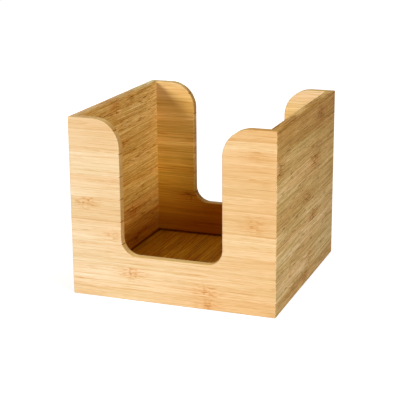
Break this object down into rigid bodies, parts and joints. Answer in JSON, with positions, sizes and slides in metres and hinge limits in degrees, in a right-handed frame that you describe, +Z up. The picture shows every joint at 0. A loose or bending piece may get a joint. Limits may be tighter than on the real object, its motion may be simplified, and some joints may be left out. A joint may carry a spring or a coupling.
{
  "type": "napkin holder",
  "caption": "Square open-topped napkin box of laminated bamboo, mitred at the corners, with round-cornered cut-outs open to the top in its front and back walls.",
  "frame": {"origin": "middle of the footprint, on the table", "axes": "+Z up out of the open top; the front cut-out faces -Y, the back one +Y; +X to the right seen from the front"},
  "size_m": [0.187, 0.187, 0.16],
  "materials": {
    "front_board": "clear satin lacquer on laminated bamboo",
    "back_board": "clear satin lacquer on laminated bamboo",
    "left_board": "clear satin lacquer on laminated bamboo",
    "right_board": "clear satin lacquer on laminated bamboo",
    "base_panel": "clear satin lacquer on laminated bamboo",
    "corner_splines": "clear satin lacquer on laminated bamboo"
  },
  "bodies": {
    "root": {"front_strip_1": "front_board", "front_strip_2": "front_board", "front_strip_3": "front_board", "back_strip_1": "back_board", "back_strip_2": "back_board", "back_strip_3": "back_board", "front_strip_4_left": "front_board", "front_strip_4_right": "front_board", "front_strip_5_left": "front_board", "front_strip_5_right": "front_board", "front_strip_6_left": "front_board", "front_strip_6_right": "front_board", "front_strip_7_left": "front_board", "front_strip_7_right": "front_board", "front_strip_8_left": "front_board", "front_strip_8_right": "front_board", "front_strip_9_left": "front_board", "front_strip_9_right": "front_board", "back_strip_4_left": "back_board", "back_strip_4_right": "back_board", "back_strip_5_left": "back_board", "back_strip_5_right": "back_board", "back_strip_6_left": "back_board", "back_strip_6_right": "back_board", "back_strip_7_left": "back_board", "back_strip_7_right": "back_board", "back_strip_8_left": "back_board", "back_strip_8_right": "back_board", "back_strip_9_left": "back_board", "back_strip_9_right": "back_board", "left_strip_1": "left_board", "left_strip_2": "left_board", "left_strip_3": "left_board", "left_strip_4": "left_board", "left_strip_5": "left_board", "left_strip_6": "left_board", "left_strip_7": "left_board", "left_strip_8": "left_board", "right_strip_1": "right_board", "right_strip_2": "right_board", "right_strip_3": "right_board", "right_strip_4": "right_board", "right_strip_5": "right_board", "right_strip_6": "right_board", "right_strip_7": "right_board", "right_strip_8": "right_board", "base_strip_1": "base_panel", "base_strip_2": "base_panel", "base_strip_3": "base_panel", "base_strip_4": "base_panel", "base_strip_5": "base_panel", "base_strip_6": "base_panel", "base_strip_7": "base_panel", "base_strip_8": "base_panel", "base_strip_9": "base_panel", "front_left_spline": "corner_splines", "front_right_spline": "corner_splines", "back_left_spline": "corner_splines", "back_right_spline": "corner_splines"}
  },
  "joints": []
}
